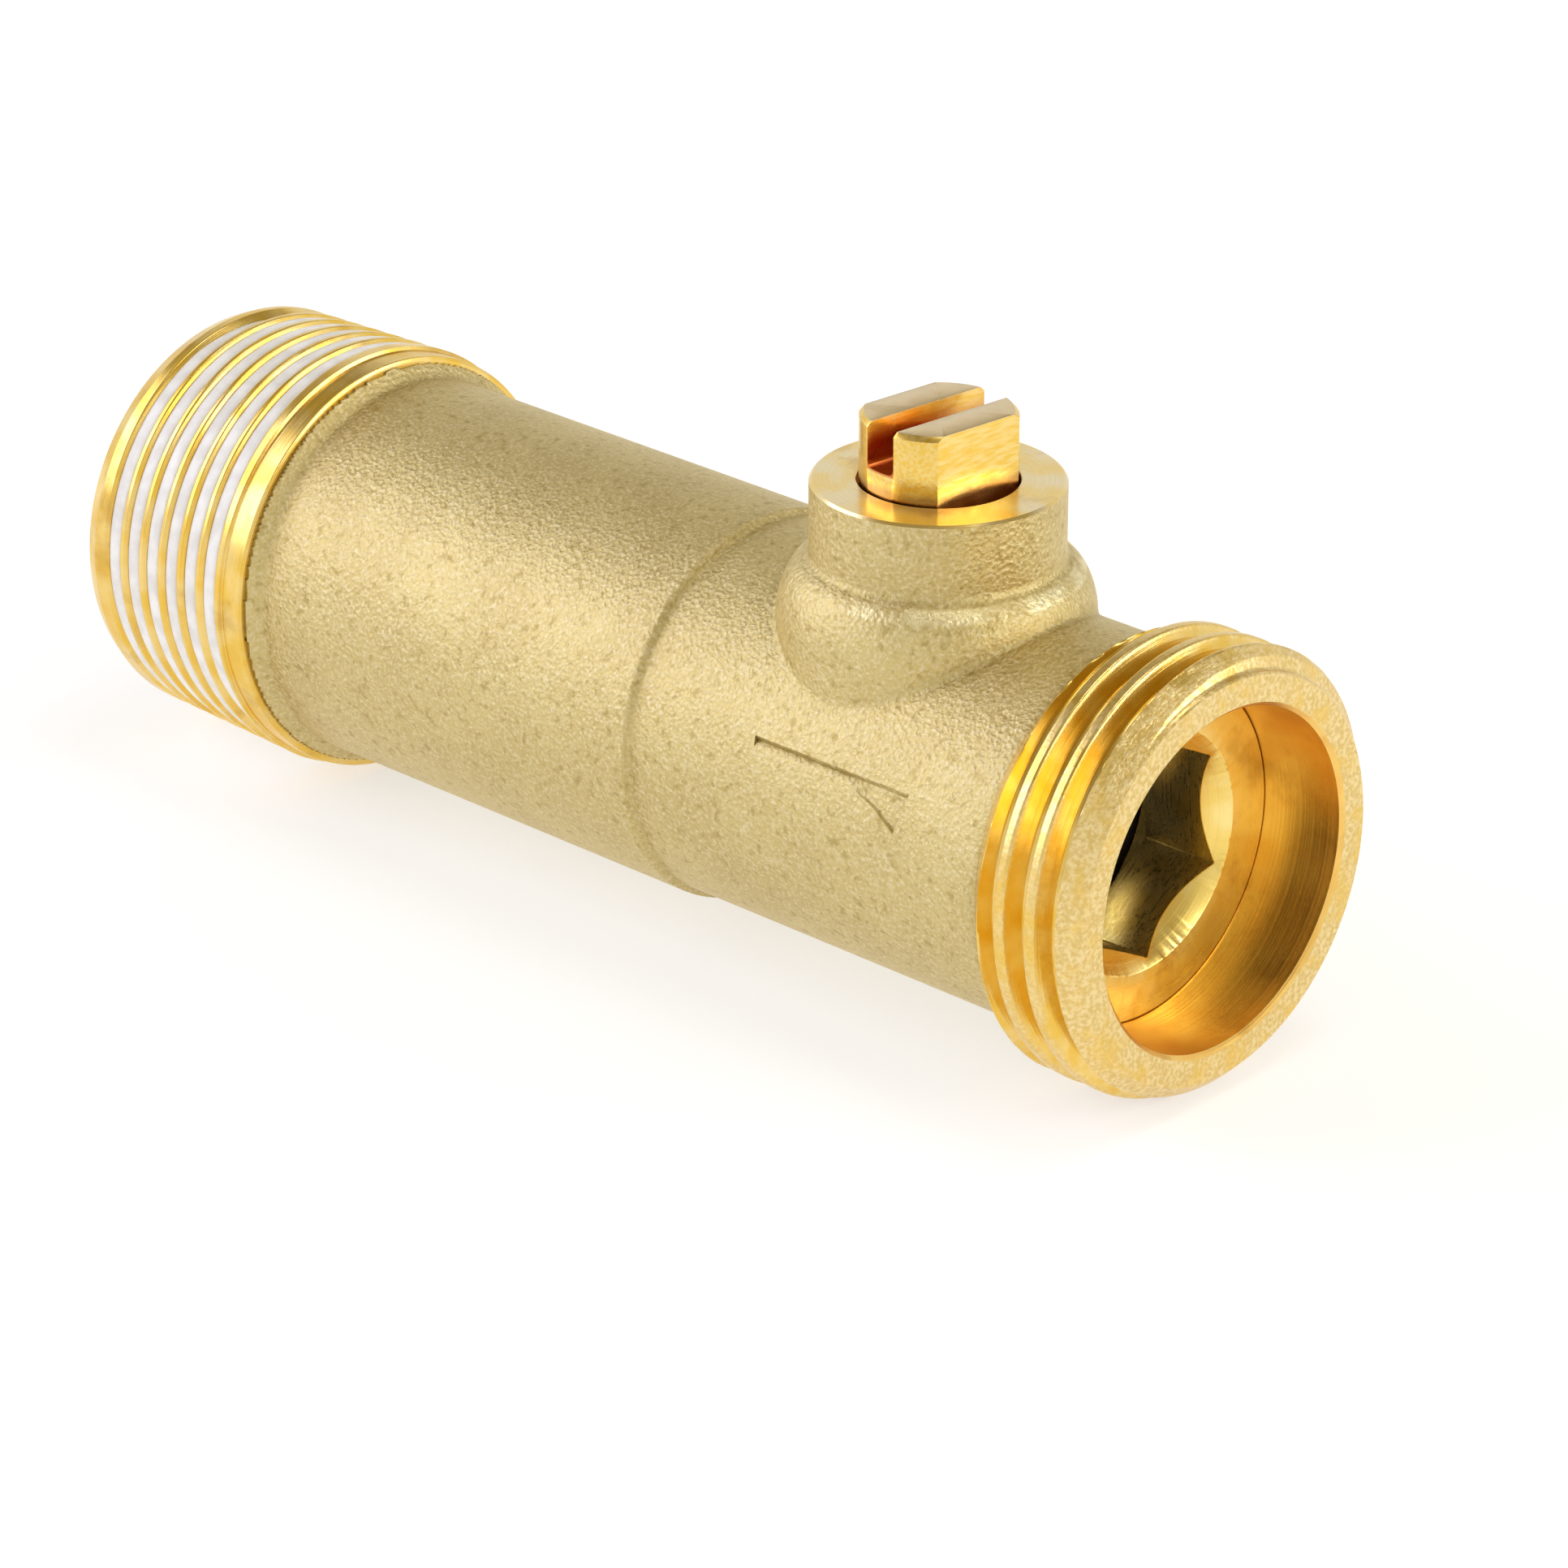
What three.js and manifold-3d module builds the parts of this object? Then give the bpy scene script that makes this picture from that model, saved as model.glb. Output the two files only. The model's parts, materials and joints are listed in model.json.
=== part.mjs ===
// Slot-operated quarter-turn drain valve: a one-piece forged brass ball valve with a taper pipe thread
// on its inlet and a garden-hose thread on its outlet.
// Millimetres. The pipe axis is X, from the centre of the inlet end face (the origin) towards the outlet.
// The stem axis is parallel to Z. The model is in the closed position.

import * as THREE from 'three';
import { mergeVertices } from 'three/addons/utils/BufferGeometryUtils.js';
import Module from 'manifold-3d';

const wasm = await Module();
wasm.setup();

// ---- overall ----
const LENGTH = 82.1; // inlet end face to outlet end face
const STEM_X = 60.1; // stem axis from the inlet end face
const FIT_GAP = 0.3; // clearance between neighbouring pieces
const RING_STEPS = 28; // facets round a turned piece
const OVERCUT = 1.0; // how far a cutter runs past the face it opens

// ---- forged body ----
const BARREL_R = 12.06;
const NECK_R = 11.69; // the slightly thinner length under the stem boss
const BARREL_STEP_X = 46.5; // where the barrel steps down to the neck
const STEP_LENGTH = 0.4;
const COLLAR_R = 13.25; // turned band behind the inlet thread
const COLLAR_START_X = 12.7;
const COLLAR_END_X = 14.3;
const COLLAR_FOOT_X = 15.6; // where the rounded shoulder meets the barrel
const COLLAR_ROUND = 0.45;
const THREAD_END_STEP = 0.15; // length of the small step from the last crest down to the collar

// ---- threads: the groove's centre is at startX at turn zero, on the +Y side ----
// crestR is the crest radius at the inlet end face, and taper is the radius gained per millimetre.
// top, root and depth are the groove's width at the crest, width at the root, and depth.
const INLET_THREAD = {
  pitch: 25.4 / 14, // 3/4-14 taper pipe thread
  startX: 0,
  firstTurn: 1.1,
  lastTurn: 6.8,
  crestR: 13.1,
  taper: 1 / 32,
  top: 1.5,
  root: 0.14,
  depth: 1.25,
};
const HOSE_THREAD = {
  pitch: 25.4 / 11.5, // 3/4-11.5 garden-hose thread
  startX: 74.77,
  firstTurn: 0.05,
  lastTurn: 3.75,
  crestR: 13.495,
  taper: 0,
  top: 1.6,
  root: 0.5,
  depth: 1.25,
};
const INLET_FACE_R = 12.7;
const INLET_CHAMFER = 1.0;
const HOSE_RAMP_START_X = 73.7; // foot of the 45 degree ramp up to the crest
const HOSE_CHAMFER = 1.37;
const SEALANT_BELOW_CREST = 0.2;
const SEALANT_GAP = 0.2;
const SEALANT_HEIGHT = 0.68;

// ---- waterway ----
const INLET_BORE_R = 9.3;
const INLET_BORE_END_X = 46.0;
const PORT_R = 5.6;
const DRILL_POINT_LENGTH = 2.0;
const CHAMBER_R = 9.5;
const CHAMBER_START_X = STEM_X - 9.4;
const CHAMBER_END_X = STEM_X + 9.4;
const OUTLET_BORE_R = 10.26;

// ---- stem boss ----
const BOSS_TOP_Z = 18.28;
const BOSS_R = 7.36;
const BOSS_EDGE = 0.15;
const BOSS_SHOULDER = { r: 6.9, z: 10.0, halfWidth: 2.38, height: 3.78, steps: 5 }; // a quarter ellipse
const STEM_BORE_R = 4.82;
const FLANGE_POCKET_R = 6.6;
const FLANGE_POCKET_TOP_Z = 11.2;

// ---- stem ----
const STEM_R = STEM_BORE_R - FIT_GAP;
const STEM_TOP_Z = BOSS_TOP_Z + 4.15;
const STEM_TOP_CHAMFER = 0.35;
const STEM_FLATS = 6.75; // across the two flats
const STEM_FLATS_BOTTOM_Z = BOSS_TOP_Z - 1.0; // the flats run down into the bore
const SLOT_WIDTH = 2.2;
const SLOT_FLOOR_Z = BOSS_TOP_Z + 1.5;
const HEAD_TURN = THREE.MathUtils.degToRad(-6); // the slot and flats are cut this far off the tang
const FLANGE_R = 6.2;
const FLANGE_BOTTOM_Z = 8.6;
const FLANGE_TOP_Z = 10.0;
const TANG = { length: 8.4, width: 3.4, bottomZ: 6.3 };
const O_RING_GROOVES_Z = [12.2, 15.0]; // lower side of each groove
const O_RING_GROOVE_HEIGHT = 1.8;
const O_RING_GROOVE_R = 3.5;
const O_RING_CORD_R = 0.62;
const O_RING_STEPS = 6; // facets round the cord

// ---- ball, seats and retainer ----
const BALL_R = 8.2;
const BALL_BORE_R = 5.0;
const BALL_SLOT_WIDTH = 4.0;
const BALL_SLOT_FLOOR_Z = 6.0;
const SEAT_BORE_R = 5.2;
const SEAT_LIP_R = 6.45; // outer edge of the lip that bears on the ball
const SEAT_LIP_TAPER = 0.5; // the lip is this much thicker at its root
const SEAT_GAP = 0.35; // between the ball and the lip
const SEAT_FRONT = 6.5; // seat faces, measured from the stem axis along the pipe
const SEAT_BACK = 9.1;
const RETAINER_FACE_X = 76.4;
const RETAINER_BACK_X = CHAMBER_END_X + FIT_GAP;
const RETAINER_R = OUTLET_BORE_R - FIT_GAP;
const HEX_ACROSS_FLATS = 12.1;
const HEX_TURN = THREE.MathUtils.degToRad(35); // a corner of the socket, from +Y towards +Z
const HEX_LEAD_R = 7.37; // 45 degree lead-in at the socket's mouth
const RELIEF_R = 7.3; // round relief behind the socket
const RELIEF_DEPTH = 1.0;

// ---- flow arrow sunk in the side of the neck ----
const ARROW = { startX: 56.1, tipX: 67.8, line: 0.5, head: 6.0, middleDrop: 1.9, drop: 2.1, depth: 0.3 };
const ARROW_ANGLE = THREE.MathUtils.degToRad(20); // above the horizontal plane through the pipe axis

const BRASS_CAST = { color: 0xc9b474, roughness: 0.55, metalness: 0.85 };
const BRASS_TURNED = { color: 0xd9a93c, roughness: 0.25, metalness: 1.0 };
const CHROME = { color: 0xc8cacc, roughness: 0.12, metalness: 1.0 };
const PTFE_FILLED = { color: 0x3c3936, roughness: 0.6, metalness: 0.0 };
const PTFE_WHITE = { color: 0xe9e7e1, roughness: 0.55, metalness: 0.0 };
const RUBBER = { color: 0x1d1c1b, roughness: 0.8, metalness: 0.0 };

// ---- solids ----

// Signed volume of an indexed triangle mesh: negative when its faces point inwards.
function signedVolume(position, index) {
  const [a, b, c] = [new THREE.Vector3(), new THREE.Vector3(), new THREE.Vector3()];
  let volume = 0;
  for (let i = 0; i < index.length; i += 3) {
    a.fromBufferAttribute(position, index[i]);
    b.fromBufferAttribute(position, index[i + 1]);
    c.fromBufferAttribute(position, index[i + 2]);
    volume += a.dot(b.cross(c)) / 6;
  }
  return volume;
}

// Turns a closed geometry into a solid: vertices merged, collapsed triangles dropped, faces outwards.
function solid(geometry) {
  geometry.deleteAttribute('normal');
  geometry.deleteAttribute('uv');
  const merged = mergeVertices(geometry);
  const position = merged.getAttribute('position');
  const source = merged.index.array;
  const kept = [];
  for (let i = 0; i < source.length; i += 3) {
    const [a, b, c] = [source[i], source[i + 1], source[i + 2]];
    if (a !== b && b !== c && c !== a) kept.push(a, b, c);
  }
  if (signedVolume(position, kept) < 0) kept.reverse();
  return new wasm.Manifold(
    new wasm.Mesh({
      numProp: 3,
      vertProperties: new Float32Array(position.array),
      triVerts: new Uint32Array(kept),
    }),
  );
}

function toMesh(name, manifold, look) {
  const mesh = manifold.getMesh();
  const geometry = new THREE.BufferGeometry();
  geometry.setAttribute('position', new THREE.BufferAttribute(new Float32Array(mesh.vertProperties), 3));
  geometry.setIndex(new THREE.BufferAttribute(new Uint32Array(mesh.triVerts), 1));
  geometry.computeVertexNormals();
  const result = new THREE.Mesh(geometry, new THREE.MeshStandardMaterial(look));
  result.name = name;
  return result;
}

// A piece turned about the pipe axis, from its outline as [x, radius] points.
function turnedOnPipe(outline) {
  const points = outline.map(([x, r]) => new THREE.Vector2(r, x));
  return solid(new THREE.LatheGeometry(points, RING_STEPS).rotateZ(-Math.PI / 2));
}

// A piece turned about the stem axis, from its outline as [radius, z] points.
function turnedOnStem(outline) {
  const points = outline.map(([r, z]) => new THREE.Vector2(r, z));
  return solid(new THREE.LatheGeometry(points, RING_STEPS).rotateX(Math.PI / 2).translate(STEM_X, 0, 0));
}

// A rectangular block from its lowest to its highest corner, with x measured from the stem axis.
// A box placed from the stem axis, then turned about it.
function block(low, high, turn = 0) {
  const size = high.map((value, i) => value - low[i]);
  const middle = high.map((value, i) => (value + low[i]) / 2);
  const geometry = new THREE.BoxGeometry(...size);
  return solid(geometry.translate(...middle).rotateZ(turn).translate(STEM_X, 0, 0));
}

function closedRing(outline) {
  return [...outline, outline[0]];
}

// A straight bar wrapped round the pipe axis as a right-hand helix. Its section is made of
// [x, radius] points, with x from the groove's centre and the radius as it is at the inlet end face.
function helix(thread, section, endGap = 0) {
  const shape = new THREE.Shape(section.map(([x, r]) => new THREE.Vector2(x, r)));
  const firstTurn = thread.firstTurn + endGap;
  const turns = thread.lastTurn - endGap - firstTurn;
  const bar = new THREE.ExtrudeGeometry(shape, {
    depth: turns,
    steps: Math.round(turns * RING_STEPS),
    bevelEnabled: false,
  });
  const position = bar.getAttribute('position');
  for (let i = 0; i < position.count; i++) {
    const turn = firstTurn + position.getZ(i);
    const x = thread.startX + thread.pitch * turn + position.getX(i);
    const radius = position.getY(i) + thread.taper * x;
    const angle = turn * 2 * Math.PI;
    position.setXYZ(i, x, radius * Math.cos(angle), radius * Math.sin(angle));
  }
  return solid(bar);
}

// How much half the groove's width grows per millimetre of radius.
const flankSlope = (thread) => (thread.top - thread.root) / (2 * thread.depth);

// Cutter for a thread's groove, open above the crest.
function threadCutter(thread) {
  const mouth = thread.top / 2 + flankSlope(thread) * OVERCUT;
  return helix(thread, [
    [-thread.root / 2, thread.crestR - thread.depth],
    [thread.root / 2, thread.crestR - thread.depth],
    [mouth, thread.crestR + OVERCUT],
    [-mouth, thread.crestR + OVERCUT],
  ]);
}

// ---- valve body ----

const inletCrestR = (x) => INLET_THREAD.crestR + INLET_THREAD.taper * x;

function bodyBlank() {
  return turnedOnPipe([
    [0, 0],
    [0, INLET_FACE_R],
    [INLET_CHAMFER, inletCrestR(INLET_CHAMFER)],
    [COLLAR_START_X - THREAD_END_STEP, inletCrestR(COLLAR_START_X)],
    [COLLAR_START_X, COLLAR_R],
    [COLLAR_END_X, COLLAR_R],
    [COLLAR_END_X + COLLAR_ROUND, COLLAR_R - COLLAR_ROUND / 2],
    [COLLAR_FOOT_X - COLLAR_ROUND, BARREL_R + COLLAR_ROUND],
    [COLLAR_FOOT_X, BARREL_R],
    [BARREL_STEP_X - STEP_LENGTH / 2, BARREL_R],
    [BARREL_STEP_X + STEP_LENGTH / 2, NECK_R],
    [HOSE_RAMP_START_X, NECK_R],
    [HOSE_RAMP_START_X + HOSE_THREAD.crestR - NECK_R, HOSE_THREAD.crestR],
    [LENGTH - HOSE_CHAMFER, HOSE_THREAD.crestR],
    [LENGTH, HOSE_THREAD.crestR - HOSE_CHAMFER],
    [LENGTH, 0],
  ]);
}

function bossBlank() {
  const { r, z, halfWidth, height, steps } = BOSS_SHOULDER;
  const topAngle = Math.acos((BOSS_R - r) / halfWidth);
  const shoulder = [];
  for (let i = 0; i <= steps; i++) {
    const angle = (topAngle * i) / steps;
    shoulder.push([r + halfWidth * Math.cos(angle), z + height * Math.sin(angle)]);
  }
  return turnedOnStem([
    [0, 0],
    [r + halfWidth, 0],
    ...shoulder,
    [BOSS_R, BOSS_TOP_Z - BOSS_EDGE],
    [BOSS_R - BOSS_EDGE, BOSS_TOP_Z],
    [0, BOSS_TOP_Z],
  ]);
}

function waterway() {
  return turnedOnPipe([
    [-OVERCUT, 0],
    [-OVERCUT, INLET_BORE_R],
    [INLET_BORE_END_X, INLET_BORE_R],
    [INLET_BORE_END_X + DRILL_POINT_LENGTH, PORT_R],
    [CHAMBER_START_X, PORT_R],
    [CHAMBER_START_X, CHAMBER_R],
    [CHAMBER_END_X, CHAMBER_R],
    [CHAMBER_END_X, OUTLET_BORE_R],
    [LENGTH + OVERCUT, OUTLET_BORE_R],
    [LENGTH + OVERCUT, 0],
  ]);
}

function stemPassage() {
  return turnedOnStem([
    [0, 0],
    [FLANGE_POCKET_R, 0],
    [FLANGE_POCKET_R, FLANGE_POCKET_TOP_Z],
    [STEM_BORE_R, FLANGE_POCKET_TOP_Z],
    [STEM_BORE_R, BOSS_TOP_Z + OVERCUT],
    [0, BOSS_TOP_Z + OVERCUT],
  ]);
}

// A line along the neck that widens below into half an arrowhead at its outlet end.
function arrowCutter() {
  const { startX, tipX, line, head, middleDrop, drop, depth } = ARROW;
  const shape = new THREE.Shape();
  shape.moveTo(startX, 0);
  shape.lineTo(tipX - head, 0);
  shape.lineTo(tipX - head / 2, -middleDrop);
  shape.lineTo(tipX - line, -drop);
  shape.lineTo(tipX, line);
  shape.lineTo(startX, line);
  const cutter = new THREE.ExtrudeGeometry(shape, { depth: depth + OVERCUT, bevelEnabled: false });
  cutter.rotateX(Math.PI / 2); // the outline's own "up" becomes +Z and the cutter points along -Y
  cutter.translate(0, -(NECK_R - depth), 0);
  return solid(cutter.rotateX(-ARROW_ANGLE));
}

function valveBody() {
  return bodyBlank()
    .add(bossBlank())
    .subtract(waterway())
    .subtract(stemPassage())
    .subtract(threadCutter(INLET_THREAD))
    .subtract(threadCutter(HOSE_THREAD))
    .subtract(arrowCutter());
}

// White sealing compound, laid in the inlet thread's groove.
function threadSealant() {
  const { top, crestR } = INLET_THREAD;
  const slope = flankSlope(INLET_THREAD);
  const sideGap = SEALANT_GAP * Math.hypot(1, slope);
  const halfWidth = (below) => top / 2 - slope * below - sideGap;
  const upper = SEALANT_BELOW_CREST;
  const lower = upper + SEALANT_HEIGHT;
  const section = [
    [-halfWidth(lower), crestR - lower],
    [halfWidth(lower), crestR - lower],
    [halfWidth(upper), crestR - upper],
    [-halfWidth(upper), crestR - upper],
  ];
  return helix(INLET_THREAD, section, 1 / RING_STEPS);
}

// ---- stem and its seals ----

function stem() {
  const grooves = O_RING_GROOVES_Z.flatMap((z) => [
    [STEM_R, z],
    [O_RING_GROOVE_R, z],
    [O_RING_GROOVE_R, z + O_RING_GROOVE_HEIGHT],
    [STEM_R, z + O_RING_GROOVE_HEIGHT],
  ]);
  const shaft = turnedOnStem([
    [0, FLANGE_BOTTOM_Z],
    [FLANGE_R, FLANGE_BOTTOM_Z],
    [FLANGE_R, FLANGE_TOP_Z],
    [STEM_R, FLANGE_TOP_Z],
    ...grooves,
    [STEM_R, STEM_TOP_Z - STEM_TOP_CHAMFER],
    [STEM_R - STEM_TOP_CHAMFER, STEM_TOP_Z],
    [0, STEM_TOP_Z],
  ]);
  const tang = block(
    [-TANG.length / 2, -TANG.width / 2, TANG.bottomZ],
    [TANG.length / 2, TANG.width / 2, FLANGE_TOP_Z - FIT_GAP],
  );
  const headCut = (left, right, bottom) =>
    block([left, -STEM_BORE_R, bottom], [right, STEM_BORE_R, STEM_TOP_Z + OVERCUT], HEAD_TURN);
  return shaft
    .add(tang)
    .subtract(headCut(-SLOT_WIDTH / 2, SLOT_WIDTH / 2, SLOT_FLOOR_Z))
    .subtract(headCut(STEM_FLATS / 2, STEM_BORE_R, STEM_FLATS_BOTTOM_Z))
    .subtract(headCut(-STEM_BORE_R, -STEM_FLATS / 2, STEM_FLATS_BOTTOM_Z));
}

function oRing(grooveZ) {
  const middleR = (O_RING_GROOVE_R + STEM_BORE_R) / 2;
  const middleZ = grooveZ + O_RING_GROOVE_HEIGHT / 2;
  const cord = [];
  for (let i = 0; i < O_RING_STEPS; i++) {
    const angle = (2 * Math.PI * i) / O_RING_STEPS;
    cord.push([middleR + O_RING_CORD_R * Math.cos(angle), middleZ + O_RING_CORD_R * Math.sin(angle)]);
  }
  return turnedOnStem(closedRing(cord));
}

function thrustWasher() {
  const bottom = FLANGE_TOP_Z + FIT_GAP;
  const top = FLANGE_POCKET_TOP_Z - FIT_GAP;
  return turnedOnStem(
    closedRing([
      [STEM_BORE_R, bottom],
      [FLANGE_R, bottom],
      [FLANGE_R, top],
      [STEM_BORE_R, top],
    ]),
  );
}

// ---- ball, seats and retainer ----

function ball() {
  const sphere = new THREE.SphereGeometry(BALL_R, RING_STEPS, RING_STEPS / 2);
  const boreLength = 2 * (BALL_R + OVERCUT);
  const bore = new THREE.CylinderGeometry(BALL_BORE_R, BALL_BORE_R, boreLength, RING_STEPS);
  const slot = block(
    [-BALL_R, -BALL_SLOT_WIDTH / 2, BALL_SLOT_FLOOR_Z],
    [BALL_R, BALL_SLOT_WIDTH / 2, BALL_R + OVERCUT],
  );
  return solid(sphere.translate(STEM_X, 0, 0))
    .subtract(solid(bore.translate(STEM_X, 0, 0)))
    .subtract(slot);
}

// Seat ring on one side of the ball: side is -1 at the inlet and 1 at the outlet.
function seat(side) {
  const faceR = BALL_R + SEAT_GAP;
  const lip = [SEAT_BORE_R, (SEAT_BORE_R + SEAT_LIP_R) / 2, SEAT_LIP_R];
  const outline = [
    ...lip.map((r) => [Math.sqrt(faceR ** 2 - r ** 2), r]),
    [SEAT_FRONT, SEAT_LIP_R + SEAT_LIP_TAPER],
    [SEAT_FRONT, CHAMBER_R - FIT_GAP],
    [SEAT_BACK, CHAMBER_R - FIT_GAP],
    [SEAT_BACK, SEAT_BORE_R],
  ];
  return turnedOnPipe(closedRing(outline.map(([x, r]) => [STEM_X + side * x, r])));
}

function hexSocket() {
  const cornerR = HEX_ACROSS_FLATS / Math.sqrt(3);
  const shape = new THREE.Shape();
  for (let i = 0; i < 6; i++) {
    const angle = HEX_TURN + (i * Math.PI) / 3;
    shape[i === 0 ? 'moveTo' : 'lineTo'](cornerR * Math.cos(angle), cornerR * Math.sin(angle));
  }
  const depth = RETAINER_FACE_X - RETAINER_BACK_X + 2 * OVERCUT;
  const prism = new THREE.ExtrudeGeometry(shape, { depth, bevelEnabled: false });
  // The outline's own x and y become Y and Z, and its depth runs along X.
  prism.rotateX(Math.PI / 2).rotateZ(Math.PI / 2);
  return solid(prism.translate(RETAINER_BACK_X - OVERCUT, 0, 0));
}

function ballRetainer() {
  const ring = turnedOnPipe([
    [RETAINER_BACK_X, 0],
    [RETAINER_BACK_X, RETAINER_R],
    [RETAINER_FACE_X, RETAINER_R],
    [RETAINER_FACE_X, 0],
  ]);
  const leadIn = turnedOnPipe([
    [RETAINER_FACE_X - HEX_LEAD_R, 0],
    [RETAINER_FACE_X + OVERCUT, HEX_LEAD_R + OVERCUT],
    [RETAINER_FACE_X + OVERCUT, 0],
  ]);
  const relief = turnedOnPipe([
    [RETAINER_BACK_X - OVERCUT, 0],
    [RETAINER_BACK_X - OVERCUT, RELIEF_R],
    [RETAINER_BACK_X + RELIEF_DEPTH, RELIEF_R],
    [RETAINER_BACK_X + RELIEF_DEPTH, 0],
  ]);
  return ring.subtract(hexSocket()).subtract(leadIn).subtract(relief);
}

// ---- assembly ----

const valve = new THREE.Group();
valve.add(
  toMesh('valve_body', valveBody(), BRASS_CAST),
  toMesh('thread_sealant', threadSealant(), PTFE_WHITE),
  toMesh('ball', ball(), CHROME),
  toMesh('inlet_seat', seat(-1), PTFE_FILLED),
  toMesh('outlet_seat', seat(1), PTFE_FILLED),
  toMesh('ball_retainer', ballRetainer(), BRASS_TURNED),
  toMesh('stem', stem(), BRASS_TURNED),
  toMesh('stem_o_ring_lower', oRing(O_RING_GROOVES_Z[0]), RUBBER),
  toMesh('stem_o_ring_upper', oRing(O_RING_GROOVES_Z[1]), RUBBER),
  toMesh('stem_thrust_washer', thrustWasher(), PTFE_WHITE),
);

export default valve;
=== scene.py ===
"""Looks of the slot-operated drain valve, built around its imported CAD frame.

Lengths are in millimetres in the part's frame until a mesh is made: the pipe runs along +X from the inlet
face, and the stem axis is parallel to Z. Sizes that the CAD fixes are read from the frame.
"""

import json
import math

import bmesh
import bpy
import numpy as np
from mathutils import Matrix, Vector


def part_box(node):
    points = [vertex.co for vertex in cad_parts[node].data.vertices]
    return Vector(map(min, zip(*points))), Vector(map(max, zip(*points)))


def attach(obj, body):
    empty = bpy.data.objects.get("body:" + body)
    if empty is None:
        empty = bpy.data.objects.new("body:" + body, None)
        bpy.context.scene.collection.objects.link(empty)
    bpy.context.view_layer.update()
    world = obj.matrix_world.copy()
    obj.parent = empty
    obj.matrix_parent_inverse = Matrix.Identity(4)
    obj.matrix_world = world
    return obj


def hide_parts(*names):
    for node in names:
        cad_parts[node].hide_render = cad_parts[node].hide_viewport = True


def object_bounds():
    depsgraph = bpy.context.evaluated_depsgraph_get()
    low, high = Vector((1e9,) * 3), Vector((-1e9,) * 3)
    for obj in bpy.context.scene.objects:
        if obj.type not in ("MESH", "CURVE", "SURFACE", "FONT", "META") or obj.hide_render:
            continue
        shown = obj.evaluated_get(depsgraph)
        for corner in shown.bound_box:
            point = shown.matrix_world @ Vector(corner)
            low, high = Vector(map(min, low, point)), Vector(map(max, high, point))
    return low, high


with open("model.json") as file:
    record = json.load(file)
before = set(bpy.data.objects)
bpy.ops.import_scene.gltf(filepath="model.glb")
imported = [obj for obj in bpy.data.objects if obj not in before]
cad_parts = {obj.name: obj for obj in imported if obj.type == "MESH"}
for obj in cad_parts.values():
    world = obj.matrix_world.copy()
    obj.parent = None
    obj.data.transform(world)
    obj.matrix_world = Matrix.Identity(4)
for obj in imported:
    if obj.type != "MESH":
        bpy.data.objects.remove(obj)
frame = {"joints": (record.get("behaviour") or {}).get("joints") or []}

import openvdb
from mathutils import Matrix, Vector

MM = 0.001  # metres in a millimetre
TURN = 2 * math.pi
INCH = 25.4
FIT_GAP = 0.3  # clearance between neighbouring pieces inside

# ---- sizes read from the frame ----


def size_of(node):
    """Lowest and highest corner of a CAD node, in millimetres."""
    low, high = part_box(node)
    return low / MM, high / MM


CAD_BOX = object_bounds()
BODY_LOW, BODY_HIGH = size_of("valve_body")
STEM_LOW, STEM_HIGH = size_of("stem")
RETAINER_LOW, RETAINER_HIGH = size_of("ball_retainer")
BALL_LOW, BALL_HIGH = size_of("ball")
WASHER_LOW, WASHER_HIGH = size_of("stem_thrust_washer")
LENGTH = BODY_HIGH.x
BOSS_TOP_Z = BODY_HIGH.z
STEM_TOP_Z = STEM_HIGH.z
STEM_X = frame["joints"][0]["pos_m"][0] / MM

# ---- forged body ----
BARREL_R = 12.06
NECK_R = 11.69
BARREL_STEP_X = 46.5  # where the barrel steps down to the neck
BARREL_STEP_HALF = 0.22
COLLAR_R = 13.25  # turned band behind the inlet thread
COLLAR_START_X = 12.9
COLLAR_END_X = 14.45
COLLAR_FOOT_X = 15.6
SHOULDER_R = 13.17  # forged shoulder just behind the turned band
BOSS_R = 7.4
BOSS_EDGE = 0.15
BOSS_SHOULDER_R = 6.9  # the shoulder is a quarter ellipse about this radius and height
BOSS_SHOULDER_Z = 10.0
BOSS_SHOULDER_WIDTH = 2.34
BOSS_SHOULDER_HEIGHT = 3.74
BOSS_NECK_Z = 13.7  # where the shoulder meets the boss
BOSS_NECK_FILLET = 0.25
BOSS_FOOT_FILLET = 0.18
SKIN_STEP = 0.2  # size of the forged skin's faces

# ---- threads: groove centres are at start + pitch * turn, turn zero being on the +Y side ----
INLET_PITCH = INCH / 14
INLET_FACE_R = 12.7
INLET_CHAMFER = 1.0
INLET_CREST_R = 13.09
INLET_TAPER = 1 / 32
HOSE_PITCH = INCH / 11.5
HOSE_CREST_R = -BODY_LOW.y
HOSE_START_X = 74.77
HOSE_RAMP_X = 73.7  # foot of the 45 degree ramp up to the crest
HOSE_CHAMFER = 1.37
THREAD_DEPTH = 1.25
SIDES = 360  # faces round a thread

# ---- bores ----
INLET_BORE_R = 9.3
INLET_BORE_END_X = 46.0
DRILL_POINT = 2.0
PORT_R = 5.6
CHAMBER_R = 9.5
CHAMBER_HALF = 9.4
OUTLET_BORE_R = 10.26
RETAINER_GAP = 0.03
STEM_BORE_R = 4.7
FLANGE_POCKET_R = 6.6
FLANGE_POCKET_TOP_Z = 11.2

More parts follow.
